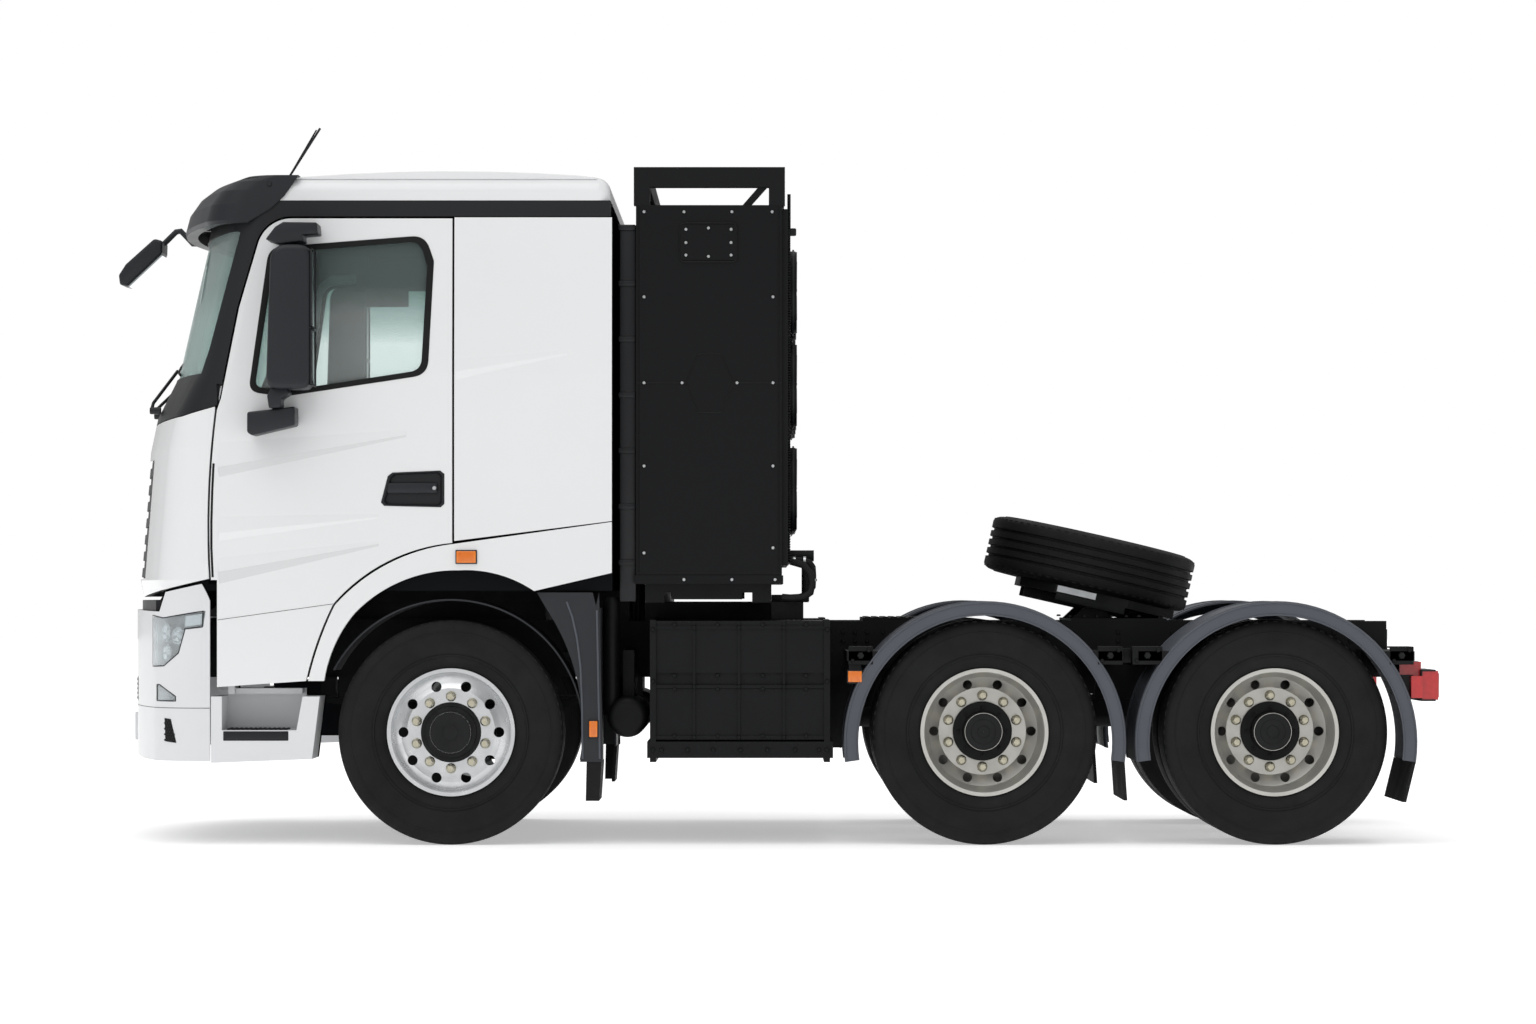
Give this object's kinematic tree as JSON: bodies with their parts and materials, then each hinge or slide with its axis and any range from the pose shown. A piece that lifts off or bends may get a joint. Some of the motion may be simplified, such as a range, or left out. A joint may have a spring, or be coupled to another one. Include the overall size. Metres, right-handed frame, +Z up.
{
  "type": "semi truck tractor unit",
  "caption": "Flat-roof cab-over 6x4 battery-electric tractor unit with tilting cab, opening doors, steered front axle, twin drive axles and a tilting coupling plate.",
  "frame": {"origin": "on the floor, at the bottom centre of the bounding box", "axes": "+Z up, -X towards the front of the truck, -Y towards its left side"},
  "size_m": [6.4235, 2.99, 3.3533],
  "materials": {
    "frame_black": "satin",
    "axle_black": "satin",
    "spring_steel": "satin",
    "motor_grey": "satin",
    "box_black": "satin",
    "body_white": "gloss",
    "lamp_clear": "gloss",
    "step_white": "gloss",
    "guard_grey": "matte",
    "flap_rubber": "matte",
    "cabinet_black": "satin",
    "unit_black": "matte",
    "tank_black": "satin",
    "fender_grey": "matte",
    "lamp_red": "gloss",
    "coupling_black": "satin",
    "tyre": "matte",
    "wheel_steel": "satin",
    "glass_green": "gloss",
    "trim_black": "gloss",
    "visor_graphite": "gloss",
    "mirror_graphite": "gloss",
    "wiper_black": "matte",
    "aerial_black": "matte",
    "seat_fabric": "matte",
    "dash_grey": "matte",
    "wheel_black": "matte",
    "wheel_aluminium": "satin"
  },
  "bodies": {
    "chassis": {"frame_rails": "frame_black", "axles": "axle_black", "leaf_springs": "spring_steel", "drive_motor": "motor_grey", "power_electronics": "box_black", "front_bumper": "body_white", "front_lamps": "lamp_clear", "entry_steps": "step_white", "front_mudguards": "guard_grey", "mudflaps": "flap_rubber", "battery_cabinet": "cabinet_black", "cabinet_frame": "frame_black", "cooling_unit": "unit_black", "side_battery_boxes": "box_black", "air_tanks": "tank_black", "rear_fenders": "fender_grey", "tail_lamps": "lamp_red", "fifth_wheel_base": "coupling_black"},
    "cab": {"cab_shell": "body_white", "arch_panels": "body_white", "cab_roof": "body_white", "windscreen": "glass_green", "windscreen_surround": "trim_black", "front_panel": "body_white", "sun_visor": "visor_graphite", "front_view_mirror": "mirror_graphite", "wipers": "wiper_black", "aerial": "aerial_black", "seats": "seat_fabric", "dashboard": "dash_grey", "steering_wheel": "wheel_black"},
    "left_door": {"door_left": "body_white", "door_glass_left": "glass_green", "mirror_left": "mirror_graphite"},
    "right_door": {"door_right": "body_white", "door_glass_right": "glass_green", "mirror_right": "mirror_graphite"},
    "left_knuckle": {"knuckle_left": "axle_black"},
    "right_knuckle": {"knuckle_right": "axle_black"},
    "tie_rod": {"track_rod": "axle_black"},
    "coupling": {"fifth_wheel_plate": "coupling_black", "spare_tyre": "tyre", "spare_rim": "wheel_steel"},
    "front_wheel_left": {"front_tyre_left": "tyre", "front_rim_left": "wheel_aluminium"},
    "mid_wheels_left": {"mid_tyres_left": "tyre", "mid_rims_left": "wheel_steel"},
    "rear_wheels_left": {"rear_tyres_left": "tyre", "rear_rims_left": "wheel_steel"},
    "front_wheel_right": {"front_tyre_right": "tyre", "front_rim_right": "wheel_aluminium"},
    "mid_wheels_right": {"mid_tyres_right": "tyre", "mid_rims_right": "wheel_steel"},
    "rear_wheels_right": {"rear_tyres_right": "tyre", "rear_rims_right": "wheel_steel"}
  },
  "joints": [
    {"name": "cab_tilt", "type": "hinge", "parent": "chassis", "child": "cab", "pos_m": [-2.872, 0, 0.99], "axis": [0, -1, 0], "range_deg": [0, 60]},
    {"name": "left_door_swing", "type": "hinge", "parent": "cab", "child": "left_door", "pos_m": [-2.437, -1.239, 1.6], "axis": [0, 0, -1], "range_deg": [0, 75]},
    {"name": "right_door_swing", "type": "hinge", "parent": "cab", "child": "right_door", "pos_m": [-2.437, 1.239, 1.6], "axis": [0, 0, 1], "range_deg": [0, 75]},
    {"name": "steer_left", "type": "hinge", "parent": "chassis", "child": "left_knuckle", "pos_m": [-1.372, -0.9, 0.522], "axis": [0, 0, 1], "range_deg": [-35, 35]},
    {"name": "steer_right", "type": "hinge", "parent": "chassis", "child": "right_knuckle", "pos_m": [-1.372, 0.9, 0.522], "axis": [0, 0, 1], "range_deg": [-35, 35]},
    {"name": "tie_rod_pivot", "type": "hinge", "parent": "left_knuckle", "child": "tie_rod", "pos_m": [-1.182, -0.9, 0.404], "axis": [0, 0, 1], "range_deg": [-35, 35]},
    {"name": "coupling_tilt", "type": "hinge", "parent": "chassis", "child": "coupling", "pos_m": [1.672, 0, 1.111], "axis": [0, -1, 0], "range_deg": [0, 24]},
    {"name": "front_wheel_left_spin", "type": "hinge", "parent": "left_knuckle", "child": "front_wheel_left", "pos_m": [-1.372, -1.0725, 0.522], "axis": [0, 1, 0], "continuous": true},
    {"name": "mid_wheels_left_spin", "type": "hinge", "parent": "chassis", "child": "mid_wheels_left", "pos_m": [1.108, -1.0725, 0.522], "axis": [0, 1, 0], "continuous": true},
    {"name": "rear_wheels_left_spin", "type": "hinge", "parent": "chassis", "child": "rear_wheels_left", "pos_m": [2.458, -1.0725, 0.522], "axis": [0, 1, 0], "continuous": true},
    {"name": "front_wheel_right_spin", "type": "hinge", "parent": "right_knuckle", "child": "front_wheel_right", "pos_m": [-1.372, 1.0725, 0.522], "axis": [0, 1, 0], "continuous": true},
    {"name": "mid_wheels_right_spin", "type": "hinge", "parent": "chassis", "child": "mid_wheels_right", "pos_m": [1.108, 1.0725, 0.522], "axis": [0, 1, 0], "continuous": true},
    {"name": "rear_wheels_right_spin", "type": "hinge", "parent": "chassis", "child": "rear_wheels_right", "pos_m": [2.458, 1.0725, 0.522], "axis": [0, 1, 0], "continuous": true}
  ],
  "couplings": [
    {"joint": "steer_right", "follows": "steer_left", "ratio": 1},
    {"joint": "tie_rod_pivot", "follows": "steer_left", "ratio": -1}
  ]
}
